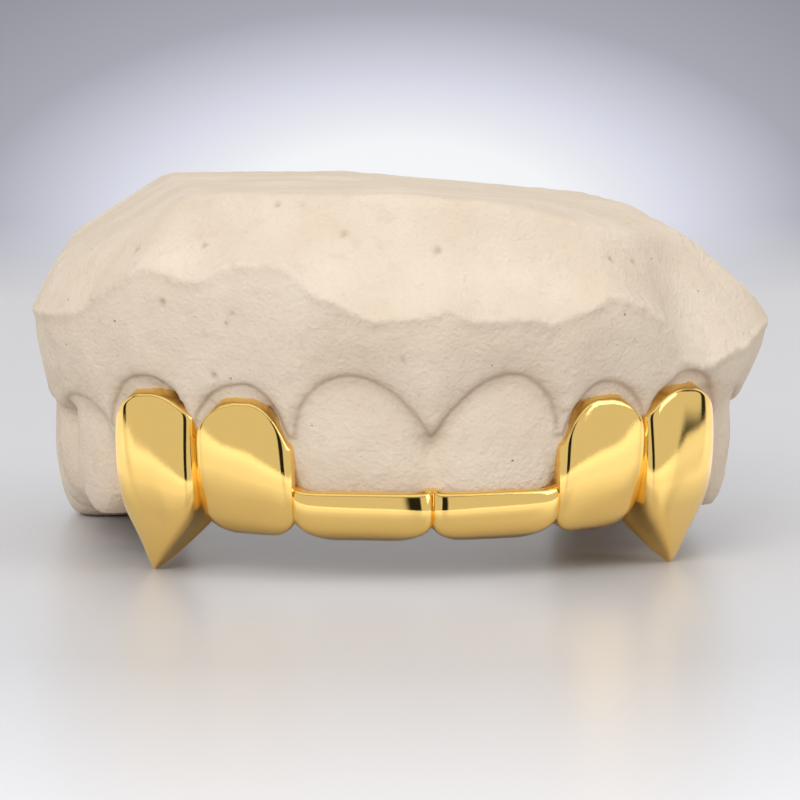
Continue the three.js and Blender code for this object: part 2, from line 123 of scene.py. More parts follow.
# One row for each worn tooth of a side, from the midline back, and then the bare ones, of which only the gum
# line is needed. Most columns are the CAD model's. Band is the width of the slanted border, and the bows and
# flares round and widen the two front corners. Twist tips the near side back and the far side forward.
TEETH = [
    {"wear": "bar", "width": 8.3, "left": 1.05, "left_lean": 1, "bottom": 2.6, "curl": 0.7, "top": 13.3,
     "gum": 13.5, "apex": 0.15, "arch": 0.9, "near": 0.0, "far": 0.0, "band": 0.18, "front": 3.0,
     "palate": 5.4, "near_bow": 6.0, "far_bow": 5.5, "near_flare": 0.5, "far_flare": 0.0, "twist": 0.06,
     "shape": BAR_CAP},
    {"wear": "cap", "width": 6.1, "left": 1.01, "left_lean": 1, "bottom": 2.8, "curl": 0.8, "top": 12.2,
     "gum": 12.8, "apex": -0.12, "arch": 1.0, "near": 0.55, "far": 0.74, "band": 0.6, "front": 2.9,
     "palate": 5.0, "near_bow": 4.6, "far_bow": 4.0, "near_flare": 1.1, "far_flare": 0.15,
     "twist": 0.13, "shape": INCISOR_CAP},
    {"wear": "cap", "width": 7.3, "left": 0.92, "left_lean": 2, "bottom": 0.0, "curl": 0.0, "top": 12.5,
     "gum": 13.1, "apex": -0.14, "arch": 1.0, "near": 0.72, "far": 0.68, "band": 0.6, "front": 3.4,
     "palate": 5.2, "near_bow": 4.4, "far_bow": 2.5, "near_flare": 1.15, "far_flare": -0.25,
     "twist": 0.12, "shape": FANG_CAP},
    {"wear": "none", "width": 6.9, "left": 1.0, "left_lean": 1, "gum": 11.2, "apex": 0.1, "arch": 1.0},
    {"wear": "none", "width": 6.7, "left": 1.0, "left_lean": 1, "gum": 10.5, "apex": 0.1, "arch": 1.0},
    {"wear": "none", "width": 9.6, "left": 1.0, "left_lean": 1, "gum": 9.9, "apex": 0.1, "arch": 1.0},
    {"wear": "none", "width": 9.2, "left": 1.0, "left_lean": 1, "gum": 9.6, "apex": 0.1, "arch": 1.0},
]

# Facets of one cap: round it, up its outside, over its rim and down its inside
AROUND = 128
UP_OUTSIDE = 84
DOWN_INSIDE = 10

# The ridge of the roll, from the left end of the tooth line (minus) to the right: share of the line's half
# length and share of the roll's height
ROLL = [
    {"along": -1.00, "height": 0.94}, {"along": -0.60, "height": 0.95}, {"along": -0.47, "height": 0.96},
    {"along": -0.41, "height": 0.98}, {"along": -0.355, "height": 1.09}, {"along": -0.31, "height": 1.17},
    {"along": -0.25, "height": 1.125}, {"along": -0.20, "height": 1.19}, {"along": -0.155, "height": 1.185},
    {"along": -0.11, "height": 1.07}, {"along": -0.06, "height": 0.99}, {"along": -0.02, "height": 0.995},
    {"along": 0.01, "height": 1.03}, {"along": 0.04, "height": 0.985}, {"along": 0.10, "height": 0.99},
    {"along": 0.12, "height": 0.97}, {"along": 0.155, "height": 1.01}, {"along": 0.19, "height": 1.065},
    {"along": 0.23, "height": 1.02}, {"along": 0.26, "height": 0.965}, {"along": 0.30, "height": 0.80},
    {"along": 0.34, "height": 0.76}, {"along": 0.40, "height": 0.82}, {"along": 0.47, "height": 0.90},
    {"along": 0.60, "height": 0.93}, {"along": 1.00, "height": 0.92},
]

# Points of gum between the worn teeth, from the midline back: place out from the tooth line, height, half sizes
PAPILLAE = [
    {"out": 0.9, "height": 9.6, "width": 0.85, "deep": 1.25, "tall": 3.3},
    {"out": 0.9, "height": 10.6, "width": 1.1, "deep": 1.3, "tall": 2.2},
    {"out": 1.0, "height": 10.4, "width": 1.3, "deep": 1.2, "tall": 2.6},
]

# The carving of the cast
GUM_CUT = 0.09
GUM_SWELL = 0.08
GUM_SWELL_AT = 0.45
RIDGE_SWELL = 0.14
RIDGE_HOLLOW = 0.09
PIT_DEPTH = 1.0
WAVE_DEPTH = 0.055
WAVE_SIZE = 1.6
WORN_LENGTH = 23.0

# Pits that show in the photograph, by pixel of its 800 x 800 frame, with radii in mm
PITS = [
    {"x": 136, "y": 249, "radius": 0.22}, {"x": 204, "y": 245, "radius": 0.16},
    {"x": 277, "y": 205, "radius": 0.18}, {"x": 304, "y": 204, "radius": 0.14},
    {"x": 345, "y": 233, "radius": 0.15}, {"x": 162, "y": 303, "radius": 0.20},
    {"x": 231, "y": 314, "radius": 0.15}, {"x": 226, "y": 324, "radius": 0.13},
    {"x": 403, "y": 361, "radius": 0.16}, {"x": 214, "y": 376, "radius": 0.20},
    {"x": 438, "y": 250, "radius": 0.24}, {"x": 611, "y": 259, "radius": 0.18},
    {"x": 633, "y": 261, "radius": 0.16}, {"x": 694, "y": 243, "radius": 0.20},
    {"x": 362, "y": 447, "radius": 0.11},
]

# The camera and the photograph's frame
CAMERA_AIM = (0.46, 1.83, 9.6)
SENSOR = 36
FRAME_PIXELS = 800

# Tints of the studio's light, and the floor's painted light: the distances in metres over which the floor is
# painted paler, and the strength and distances of a painted glow that only the gold's reflections see
BACKGROUND = (0.31, 0.315, 0.36)
COOL = (0.97, 0.98, 1.0)
COLD = (0.93, 0.94, 1.07)
FLOOR_PAINTED_LIGHT_FROM = (0.055, 0.11)
FLOOR_PAINTED_LIGHT_BACK = (0.0, 0.04)
FLOOR_PAINTED_GLOW = 0.40
FLOOR_PAINTED_GLOW_FROM = (0.030, 0.046)

# The sheet behind the part, in metres, and the glow on it
BACKDROP_PLACE = (0.028, 0.25, 0.0)
BACKDROP_SIZE = 0.4
BACKDROP_FADE = 0.011
GLOW_MIDDLE = (0.028, 0.009)
GLOW_REACH = (0.060, 0.031)
GLOW_END = 1.5
GLOW = [
    {"at": 0.0, "light": 0.97},
    {"at": 0.27, "light": 0.93},
    {"at": 0.45, "light": 0.74, "tint": COLD},
    {"at": 0.67, "light": 0.42, "tint": COLD},
    {"at": 0.93, "light": 0.32, "tint": COLD},
]

# Light from the walls, by the turn from the front (0) to the back (1)
SURROUND = [
    {"at": 0.0, "light": 0.02},
    {"at": 0.050, "light": 0.02},
    {"at": 0.060, "light": 0.72},
    {"at": 0.48, "light": 0.72},
    {"at": 0.49, "light": 0.02},
    {"at": 0.55, "light": 0.02},
    {"at": 0.56, "light": 0.95},
    {"at": 1.0, "light": 0.80},
]

# Light from above, by the sine of the elevation, and its share over the walls
DOME = [
    {"at": 0.0, "light": 0.5, "share": 0.0},
    {"at": 0.55, "light": 0.5, "share": 0.0},
    {"at": 0.62, "light": 0.25, "share": 1.0},
    {"at": 0.75, "light": 0.9, "share": 1.0},
    {"at": 1.0, "light": 1.0, "share": 1.0},
]

# Lamps, with places and sizes in metres and power in watts. Only a mirrored one shows in the gold.
LAMPS = [
    {"name": "key", "place": (-0.33, -0.62, 0.40), "size": 0.45, "power": 3.2, "mirrored": False},
    {"name": "fill", "place": (0.5, -0.3, 0.4), "size": 0.4, "power": 1.0, "mirrored": True},
]


def measured_arc(steps=400):
    """Lengths and angles along the quarter of the front ellipse."""
    angle = np.linspace(0, math.pi / 2, steps + 1)
    x = ARCH_WIDTH / 2 * np.sin(angle)
    y = -ARCH_DEPTH * np.cos(angle)
    length = np.concatenate([[0], np.cumsum(np.hypot(np.diff(x), np.diff(y)))])
    return length, angle


ARC_LENGTHS, ARC_ANGLES = measured_arc()
ARC_LENGTH = float(ARC_LENGTHS[-1])
HALF_LINE = ARC_LENGTH + SIDE_LENGTH


def on_line(along):
    """Place (x, y) and outward turn of the tooth line at signed lengths from the midline."""
    side = np.sign(along)
    length = np.abs(along)
    angle = np.interp(length, ARC_LENGTHS, ARC_ANGLES)
    back = np.maximum(length - ARC_LENGTH, 0)
    turn = side * np.arctan2(ARCH_DEPTH * np.sin(angle), ARCH_WIDTH / 2 * np.cos(angle))
    return side * ARCH_WIDTH / 2 * np.sin(angle), back - ARCH_DEPTH * np.cos(angle), turn


def teeth_of(side):
    """The teeth of one side with their true widths and places along the line."""
    teeth, start = [], 0.0
    for row in TEETH:
        width = row["width"] * (row["left"] if side < 0 else 1)
        lean = width * (row["left_lean"] if side < 0 else 1)
        start += width
        teeth.append({**row, "side": side, "width": width, "lean": lean, "middle": start - width / 2})
    return teeth


def smooth_table(rows, steps=600):
    """The rows of a table as a smooth B-spline, sampled, with one array for each column."""
    keys = list(rows[0])
    points = np.array([[row[key] for key in keys] for row in rows])
    points = np.vstack([points[:1], points[:1], points, points[-1:], points[-1:]])
    at = np.linspace(0, len(points) - 3 - 1e-9, steps)
    first = at.astype(int)
    t = (at - first)[:, None]
    a, b, c, d = (points[first + offset] for offset in range(4))
    middle = (3 * t**3 - 6 * t**2 + 4) * b + (-3 * t**3 + 3 * t**2 + 3 * t + 1) * c
    blend = (1 - t) ** 3 * a + middle + t**3 * d
    return dict(zip(keys, blend.T / 6))


def rim_height(tooth, x):
    """Height of a cap's rim over a place across the tooth: an arch under the gum, or a bar's straight top."""
    if tooth["wear"] == "bar":
        return np.full_like(x, BAR_TOP)
    reach = tooth["width"] / 2 + SOLDER / 2
    apex = tooth["apex"] * tooth["width"] / 2
    far = x > apex
    springing = tooth["top"] * np.where(far, tooth["far"], tooth["near"])
    near_reach, far_reach = (reach + FLARE_AT_RIM * tooth[key] for key in ("near_flare", "far_flare"))
    off = (x - apex) / np.where(far, far_reach - apex, near_reach + apex)
    return springing + (tooth["top"] - springing) * np.sqrt(np.maximum(1 - off**2, 0))


def ring_slope(ring):
    """Rise of a closed ring of points over its run, smoothed along it."""
    ahead, behind = np.roll(ring, -1, axis=0), np.roll(ring, 1, axis=0)
    slope = (ahead - behind)[:, 2] / np.hypot(*(ahead - behind)[:, :2].T)
    for _ in range(6):
        slope = (np.roll(slope, 1) + 2 * slope + np.roll(slope, -1)) / 4
    return slope


def cap_rings(tooth):
    """Rings of points of one cap in the tooth's own frame, up its outside and down its inside."""
    columns = smooth_table(tooth["shape"])
    angle = np.linspace(0, 2 * math.pi, AROUND, endpoint=False)
    bend = 2 / np.where(np.cos(angle) < 0, tooth["near_bow"], tooth["far_bow"])
    across = np.sign(np.cos(angle)) * np.abs(np.cos(angle)) ** bend
    out = np.sign(np.sin(angle)) * np.abs(np.sin(angle)) ** bend
    curl = tooth["curl"] * np.where(across < 0, NEAR_CURL, 1) * np.abs(np.cos(angle)) ** 3
    half = tooth["width"] / 2 + SOLDER / 2
    flare = np.where(across < 0, tooth["near_flare"], tooth["far_flare"]) * across * np.maximum(out, 0)
    low, height = tooth["bottom"], tooth["top"] - tooth["bottom"]

    def section(z, skin=0.0):
        share = (z - low) / height
        row = {key: np.interp(share, columns["up"], column) for key, column in columns.items()}
        front, palate = row["front"] * tooth["front"], row["palate"] * tooth["palate"]
        x = across * (row["width"] * half - skin) + row["width"] * flare + row["lean"] * tooth["lean"]
        y = -(front - palate) / 2 - out * ((front + palate) / 2 - skin)
        y = y - tooth["twist"] * across * row["width"] * np.maximum(out, 0) * (z - low - TWIST_AT * height)
        return np.stack([x, y, z + curl * (1 - share) ** 2], axis=-1)

    rim = rim_height(tooth, across * half)
    for _ in range(4):
        rim = rim_height(tooth, section(rim)[..., 0])
    steepness = np.hypot(1, ring_slope(section(rim)))
    shares = (1 - np.cos(np.linspace(0, math.pi, UP_OUTSIDE)))[:, None] / 2
    z = low + shares * (rim - low)
    past = tooth["band"] - (rim - z) / steepness
    outside = section(z, RIM_SLOPE * (np.sqrt(past**2 + RIM_EDGE**2) + past) / 2)
    lowest = low + (FANG_FLOOR if tooth["shape"] is FANG_CAP else CAP_FLOOR) * height
    shares = np.linspace(1, 0, DOWN_INSIDE)[:, None]
    inside = section(lowest + shares * (rim - RIM_EDGE - lowest), INSIDE_SKIN)
    return np.concatenate([outside, inside])


def gum_height(along):
    """Height of the gum line at signed lengths along the tooth line: an arch over each tooth."""
    height = np.full_like(along, PAPILLA_HEIGHT)
    for side in (-1, 1):
        for tooth in teeth_of(side):
            share = (along * side - tooth["middle"]) / (tooth["width"] / 2)
            off = share - tooth["apex"]
            near = 1 - (off / (1 + tooth["apex"])) ** 2
            far = np.sqrt(np.maximum(1 - (off / (tooth["arch"] - tooth["apex"])) ** 2, 0))
            arch = PAPILLA_HEIGHT + (tooth["gum"] - PAPILLA_HEIGHT) * np.where(off < 0, near, far)
            height = np.where(np.abs(share) < 1, arch, height)
    return height


def roll_height(along):
    """Height of the roll's wavy ridge at signed lengths along the tooth line."""
    keys = np.array([row["along"] for row in ROLL]) * HALF_LINE
    heights = np.array([row["height"] for row in ROLL]) * ROLL_HEIGHT
    index = np.clip(np.searchsorted(keys, along) - 1, 0, len(keys) - 2)
    share = np.clip((along - keys[index]) / (keys[index + 1] - keys[index]), 0, 1)
    return heights[index] + (heights[index + 1] - heights[index]) * share * share * (3 - 2 * share)


def line_place(points):
    """Length along the tooth line and distance out from it of points in the line's frame."""
    samples = np.linspace(-HALF_LINE, HALF_LINE, 1600)
    x, y, turn = on_line(samples)
    nearest = np.concatenate([
        np.argmin((part[:, :1] - x) ** 2 + (part[:, 1:2] - y) ** 2, axis=1)
        for part in np.array_split(points, len(points) // 4000 + 1)
    ])
    dx, dy, turn = points[:, 0] - x[nearest], points[:, 1] - y[nearest], turn[nearest]
    along = samples[nearest] + dx * np.cos(turn) + dy * np.sin(turn)
    return along, dx * np.sin(turn) - dy * np.cos(turn)


def curve_distance(along, height, curve):
    """Distance from places on the cast's front to a curve over the tooth line, minus below it."""
    samples = np.linspace(-HALF_LINE, HALF_LINE, 5200)
    heights = curve(samples)
    tree = KDTree(len(samples))
    for index, place in enumerate(zip(samples, heights)):
        tree.insert((*place, 0), index)
    tree.balance()
    distance = np.array([tree.find((*place, 0))[2] for place in zip(along, height)])
    return distance * np.sign(height - curve(along))


def seat(points, tooth):
    """Moves points from a tooth's own frame to its place in the part, in metres."""
    x, y, turn = (float(value) for value in on_line(tooth["middle"]))
    turned = Matrix.Translation(LINE_PLACE) @ Matrix.Diagonal((tooth["side"], 1, 1, 1))
    turned = turned @ Matrix.Translation((x, y, 0)) @ Matrix.Rotation(turn, 4, "Z")
    matrix = np.array(Matrix.Scale(MM, 4) @ turned)
    return points @ matrix[:3, :3].T + matrix[:3, 3]


def shell(bm, rings):
    """A closed surface in the bmesh: a grid wrapped round the rings, with both ends drawn to a point."""
    ends = [np.broadcast_to(ring.mean(axis=0), ring.shape)[None] for ring in (rings[0], rings[-1])]
    rings = np.concatenate([ends[0], rings, ends[1]])
    rings = np.concatenate([rings, rings[:, :1]], axis=1)
    rows, columns = rings.shape[:2]
    made = bmesh.ops.create_grid(bm, x_segments=columns - 1, y_segments=rows - 1, size=1)["verts"]
    made.sort(key=lambda vert: (round(vert.co.y, 6), round(vert.co.x, 6)))
    for vert, place in zip(made, rings.reshape(-1, 3)):
        vert.co = place
    return made


def new_piece(name, bm, material, slot, *nodes):
    """A piece of the object that replaces CAD nodes and rides on the part's one body."""
    mesh = bpy.data.meshes.new(name)
    bm.to_mesh(mesh)
    bm.free()
    mesh.materials.append(material)
    piece = bpy.data.objects.new(name, mesh)
    bpy.context.scene.collection.objects.link(piece)
    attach(piece, "root")
    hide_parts(*nodes)
    return piece


def new_material(name):
    """A node material with its shader."""
    material = bpy.data.materials.new(name)
    material.use_nodes = True
    return material, material.node_tree, material.node_tree.nodes["Principled BSDF"]


def polished_gold(settings):
    """Hand-polished gold: nearly a mirror, with cloudy wiping marks and hair-fine scratches."""
    material, tree, shader = new_material("polished_gold")
    shader.inputs["Base Color"].default_value = (*settings.gold_colour, 1)
    shader.inputs["Metallic"].default_value = 1
    clouds = noise_node(tree, 0.0035, 3)
    tree.links.new(mapped(tree, clouds, 0.3, 0.7, 0.03, 0.06), shader.inputs["Roughness"])
    marks = noise_node(tree, 0.00012, 2, stretch=(1, 1, 8))
    tree.links.new(bump(tree, marks, 0.0000008), shader.inputs["Normal"])
    return material


def cast_stone(settings):
    """Beige dental stone: wrinkled grain, pinholes, cloudy tone, and brown painted shade in its pinholes and
    crevices.
    """
    material, tree, shader = new_material("cast_stone")
    clouds = mapped(tree, noise_node(tree, 0.006, 4), 0.4, 0.7)
    tone = mixed(tree, settings.stone_colour, settings.pale_colour, clouds)
    specks = mapped(tree, noise_node(tree, 0.0011, 5), 0.55, 0.75, 0, 0.35)
    tone = mixed(tree, tone, settings.dark_colour, specks)
    # Painted shade: the pinholes are bumped in and also darkened with the brown shade colour.
    pinholes = mapped(tree, voronoi_node(tree, 0.0013), 0.03, 0.075, 1, 0)
    pinholes = math_node(tree, "MULTIPLY", pinholes, mapped(tree, noise_node(tree, 0.0031, 2), 0.54, 0.62))
    tone = mixed(tree, tone, settings.painted_shade_colour, math_node(tree, "MULTIPLY", pinholes, 0.6))
    # Painted shade: the brown share stored along the gum line and in the pits, made uneven by noise.
    painted_shade = tree.nodes.new("ShaderNodeAttribute")
    painted_shade.attribute_name = "painted_shade"
    uneven = mapped(tree, noise_node(tree, 0.0015, 3), 0.2, 0.7, 0.5, 1)
    painted_shade_share = math_node(tree, "MULTIPLY", painted_shade.outputs["Fac"], uneven)
    tone = mixed(tree, tone, settings.painted_shade_colour, painted_shade_share)
    tree.links.new(tone, shader.inputs["Base Color"])
    shader.inputs["Roughness"].default_value = 0.82
    shader.inputs["Specular IOR Level"].default_value = 0.3
    wrinkles = bump(tree, noise_node(tree, 0.0009, 6, distortion=0.6), 0.00012)
    grain = bump(tree, noise_node(tree, 0.00028, 4), 0.00009, wrinkles)
    tree.links.new(bump(tree, pinholes, -0.00012, grain), shader.inputs["Normal"])
    return material


def object_places(tree, stretch=(1, 1, 1)):
    """The piece's own coordinates, in metres, stretched along its axes."""
    place = tree.nodes.new("ShaderNodeTexCoord").outputs["Object"]
    mapping = tree.nodes.new("ShaderNodeMapping")
    mapping.inputs["Scale"].default_value = stretch
    tree.links.new(place, mapping.inputs["Vector"])
    return mapping.outputs["Vector"]


def noise_node(tree, size, detail, stretch=(1, 1, 1), distortion=0.0):
    """A noise pattern whose largest features have a size in metres."""
    node = tree.nodes.new("ShaderNodeTexNoise")
    node.inputs["Scale"].default_value = 1 / size
    node.inputs["Detail"].default_value = detail
    node.inputs["Distortion"].default_value = distortion
    tree.links.new(object_places(tree, stretch), node.inputs["Vector"])
    return node.outputs["Fac"]


def voronoi_node(tree, size):
    """Distance to scattered points that lie about a size apart, as a share of it."""
    node = tree.nodes.new("ShaderNodeTexVoronoi")
    node.inputs["Scale"].default_value = 1 / size
    tree.links.new(object_places(tree), node.inputs["Vector"])
    return node.outputs["Distance"]


def mapped(tree, value, low, high, to_low=0.0, to_high=1.0):
    """A value's range from low to high, clamped and moved to another range."""
    node = tree.nodes.new("ShaderNodeMapRange")
    for name, number in zip(("From Min", "From Max", "To Min", "To Max"), (low, high, to_low, to_high)):
        node.inputs[name].default_value = number
    tree.links.new(value, node.inputs["Value"])
    return node.outputs["Result"]


def mixed(tree, first, second, share):
    """Two colours mixed by a share. A colour is a socket or plain numbers."""
    node = tree.nodes.new("ShaderNodeMix")
    node.data_type = "RGBA"
    tree.links.new(share, node.inputs["Factor"])
    for name, colour in (("A", first), ("B", second)):
        if isinstance(colour, bpy.types.NodeSocket):
            tree.links.new(colour, node.inputs[name])
        else:
            node.inputs[name].default_value = (*colour, 1)
    return node.outputs["Result"]


def bump(tree, value, depth, under=None):
    """A bump of a depth in metres, over another one."""
    node = tree.nodes.new("ShaderNodeBump")
    node.inputs["Distance"].default_value = abs(depth)
    node.invert = depth < 0
    tree.links.new(value, node.inputs["Height"])
    if under:
        tree.links.new(under, node.inputs["Normal"])
    return node.outputs["Normal"]


def add_papillae(bm):
    """Points of gum that fill the corners between the worn teeth."""
    for side in (-1, 1):
        for tooth, row in zip(teeth_of(side), PAPILLAE):
            x, y, turn = (float(value) for value in on_line(side * (tooth["middle"] + tooth["width"] / 2)))
            place = Vector((x + math.sin(turn) * row["out"], y - math.cos(turn) * row["out"], row["height"]))
            matrix = Matrix.Translation((place + Vector(LINE_PLACE)) * MM) @ Matrix.Rotation(turn, 4, "Z")
            sizes = Matrix.Diagonal((row["width"] * MM, row["deep"] * MM, row["tall"] * MM, 1))
            bmesh.ops.create_icosphere(bm, subdivisions=3, radius=1, matrix=matrix @ sizes)


def poured(bm, voxel):
    """The closed shells of a bmesh as one even, softened skin. The old bmesh is freed."""
    mesh = bpy.data.meshes.new("poured")
    bm.to_mesh(mesh)
    bm.free()
    rough = bpy.data.objects.new("poured", mesh)
    bpy.context.scene.collection.objects.link(rough)
    remesh = rough.modifiers.new("remesh", "REMESH")
    remesh.mode = "VOXEL"
    remesh.voxel_size = voxel
    smooth = rough.modifiers.new("smooth", "SMOOTH")
    smooth.factor = 0.5
    smooth.iterations = 8
    skin = bmesh.new()
    skin.from_object(rough, bpy.context.evaluated_depsgraph_get())
    bpy.data.objects.remove(rough)
    return skin


def arrays(bm):
    """Places in the line's frame in mm, and normals, of a bmesh's vertices."""
    bm.normal_update()
    places = np.array([vert.co for vert in bm.verts]) / MM - np.array(LINE_PLACE)
    return places, np.array([vert.normal for vert in bm.verts])


def hump(distance, width):
    """A bell curve that is 1 on a line and fades over a width on both sides."""
    return np.exp(-((distance / width) ** 2))


def measured(bm):
    """What the carving needs to know of each vertex."""
    places, normals = arrays(bm)
    along, out = line_place(places)
    height = places[:, 2]
    front = (out > 0.6) & (height > 7.5)
    gum = np.full(len(places), 9.0)
    roll = np.full(len(places), 9.0)
    gum[front] = curve_distance(along[front], height[front], gum_height)
    roll[front] = curve_distance(along[front], height[front], roll_height)
    return places, normals, along, height, gum, roll


def carve(bm, stage):
    """Cuts the gum line, the crisp ridge of the roll and the pits into the poured skin, and stores painted shade
    along the gum line and in the pits.
    """
    pits = [(pixel_hit(bm, stage, row["x"], row["y"]), row["radius"]) for row in PITS]
    pits = [(np.array(place) / MM - np.array(LINE_PLACE), radius) for place, radius in pits if place]
    for reach in (0.75, 0.4):
        places, _, _, _, gum, roll = measured(bm)
        fine = (np.abs(gum) < reach) | (np.abs(roll) < reach)
        for place, radius in pits:
            fine |= np.linalg.norm(places - place, axis=1) < 2 * radius
        edges = [edge for edge in bm.edges if fine[edge.verts[0].index] and fine[edge.verts[1].index]]
        bmesh.ops.subdivide_edges(bm, edges=edges, cuts=1, use_grid_fill=True)
        bmesh.ops.triangulate(bm, faces=[face for face in bm.faces if len(face.verts) > 4])
        bm.verts.index_update()
        touched = list({vert for edge in edges if edge.is_valid for vert in edge.verts})
        bmesh.ops.smooth_vert(bm, verts=touched, factor=0.5, use_axis_x=True, use_axis_y=True, use_axis_z=True)
    places, normals, along, _, gum, roll = measured(bm)
    # Painted shade: a share of brown that the stone's material mixes in. It is strongest in the gum line's
    # groove, with a softer band round it, and in the pits, and half as strong farther back along the tooth line.
    painted_shade = bm.verts.layers.float.new("painted_shade")
    worn = np.abs(along) < WORN_LENGTH
    rise = GUM_SWELL * hump(gum - GUM_SWELL_AT, 0.4) - GUM_CUT * hump(gum, 0.14)
    rise += RIDGE_SWELL * hump(roll, 0.3) - RIDGE_HOLLOW * hump(roll + 0.8, 0.5)
    brown = 0.34 * hump(gum, 0.15) + 0.20 * hump(gum - 0.1, 0.6)
    brown = np.where(worn, brown, 0.5 * brown)
    for place, radius in pits:
        deep = hump(np.linalg.norm(places - place, axis=1), radius)
        rise -= PIT_DEPTH * radius * deep
        brown += 0.55 * deep
    for vert, up, normal, tone in zip(bm.verts, rise, normals, brown):
        wave = noise.fractal(vert.co / MM / WAVE_SIZE, 0.7, 2.0, 3) * WAVE_DEPTH
        vert.co += Vector(normal) * (float(up) + wave) * MM
        vert[painted_shade] = float(tone)


def pixel_hit(bm, stage, x, y):
    """Where the camera's ray through a pixel of the 800 x 800 photograph meets a bmesh."""
    back, place = camera_back(stage), camera_place(stage)
    right = Vector((math.cos(stage.azimuth), math.sin(stage.azimuth), 0))
    focal = FRAME_PIXELS * stage.lens / SENSOR
    ray = right * (x - FRAME_PIXELS / 2) + right.cross(back) * (y - FRAME_PIXELS / 2) - back * focal
    return BVHTree.FromBMesh(bm).ray_cast(place, ray.normalized())[0]


class GrillSettings(bpy.types.PropertyGroup):
    """Colour of the grill."""

    gold_colour: FloatVectorProperty(
        name="Gold",
        description="Colour of the polished gold",
        subtype="COLOR",
        default=(1.0, 0.68, 0.215)
    )


class CastSettings(bpy.types.PropertyGroup):
    """Sizes and colours of the cast."""

    voxel: FloatProperty(
        name="Grain", description="Size of the smallest modelled detail", unit="LENGTH", default=0.00045
    )
    stone_colour: FloatVectorProperty(
        name="Stone",
        description="Main colour of the stone",
        subtype="COLOR",
        default=(0.70, 0.58, 0.45)
    )
    pale_colour: FloatVectorProperty(
        name="Pale stone",
        description="Colour of its lighter clouds",
        subtype="COLOR",
        default=(0.76, 0.65, 0.52)
    )
    dark_colour: FloatVectorProperty(
        name="Dark stone",
        description="Colour of its darker clouds",
        subtype="COLOR",
        default=(0.60, 0.475, 0.35)
    )
    # Painted shade: the brown of the shade painted into the pinholes, the gum line and the pits.
    painted_shade_colour: FloatVectorProperty(
        name="Dust",
        description="Colour of the dust in its crevices",
        subtype="COLOR",
        default=(0.30, 0.18, 0.10)
    )


class StageSettings(bpy.types.PropertyGroup):
    """Camera and floor."""

    azimuth: FloatProperty(
        name="Azimuth",
        description="Camera's turn round the part",
        subtype="ANGLE",
        default=math.radians(-6.3)
    )
    elevation: FloatProperty(
        name="Elevation", description="Camera's height", subtype="ANGLE", default=math.radians(5.5)
    )
    distance: FloatProperty(
        name="Distance", description="Camera's distance", unit="LENGTH", default=0.262
    )
    lens: FloatProperty(name="Lens", description="Camera's focal length in mm", default=165.06)
    floor_colour: FloatVectorProperty(
        name="Floor",
        description="Colour of the floor at the part",
        subtype="COLOR",
        default=(0.62, 0.61, 0.62)
    )
    # Painted light: the floor's paler colour some way off the part, and the colour of its painted glow in the
    # gold.
    painted_light_floor: FloatVectorProperty(
        name="Pale floor",
        description="Colour of the floor farther off",
        subtype="COLOR",
        default=(0.88, 0.88, 0.90)
    )


class GRILL_OT_caps(bpy.types.Operator):
    """Make the six gold caps of the grill, soldered side by side"""

    bl_idname = "grill.caps"
    bl_label = "Gold Grill"

    def execute(self, context):
        bm = bmesh.new()
        for side in (-1, 1):
            for tooth in teeth_of(side):
                if tooth["wear"] != "none":
                    shell(bm, seat(cap_rings(tooth), tooth))
        bmesh.ops.remove_doubles(bm, verts=bm.verts, dist=1e-7)
        bmesh.ops.recalc_face_normals(bm, faces=bm.faces)
        for vert in bm.verts:
            vert.co += vert.normal * noise.noise(vert.co / MM / UNEVEN_SIZE) * UNEVEN_DEPTH * MM
        for face in bm.faces:
            face.smooth = True
        gold = polished_gold(context.scene.grill_settings)
        new_piece("gold_grill", bm, gold, "gold", "fang_grill")
        return {"FINISHED"}


class GRILL_OT_cast(bpy.types.Operator):
    """Make the stone cast with its worn surface"""

    bl_idname = "grill.cast"
    bl_label = "Stone Cast"

    def execute(self, context):
        settings = context.scene.cast_settings
        bm = bmesh.new()
        bm.from_mesh(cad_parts["dental_cast"].data)
        bmesh.ops.remove_doubles(bm, verts=bm.verts, dist=1e-6)
        add_papillae(bm)
        bm = poured(bm, settings.voxel)
        carve(bm, context.scene.stage_settings)
        for face in bm.faces:
            face.smooth = True
        stone = cast_stone(settings)
        new_piece("stone_cast", bm, stone, "dental_stone", "dental_cast")
        return {"FINISHED"}


class GRILL_OT_stage(bpy.types.Operator):
    """Make the floor, the studio light and the camera"""

    bl_idname = "grill.stage"
    bl_label = "Studio"

    def execute(self, context):
        settings = context.scene.stage_settings
        bm = bmesh.new()
        bmesh.ops.create_circle(bm, cap_ends=True, segments=96, radius=3)
        mesh = bpy.data.meshes.new("floor")
        bm.to_mesh(mesh)
        bm.free()
        floor = bpy.data.objects.new("floor", mesh)
        context.scene.collection.objects.link(floor)
        mesh.materials.append(painted_light_floor(settings))
        backdrop()
        studio_light(context.scene)
        photo_camera(context.scene, settings)
        return {"FINISHED"}


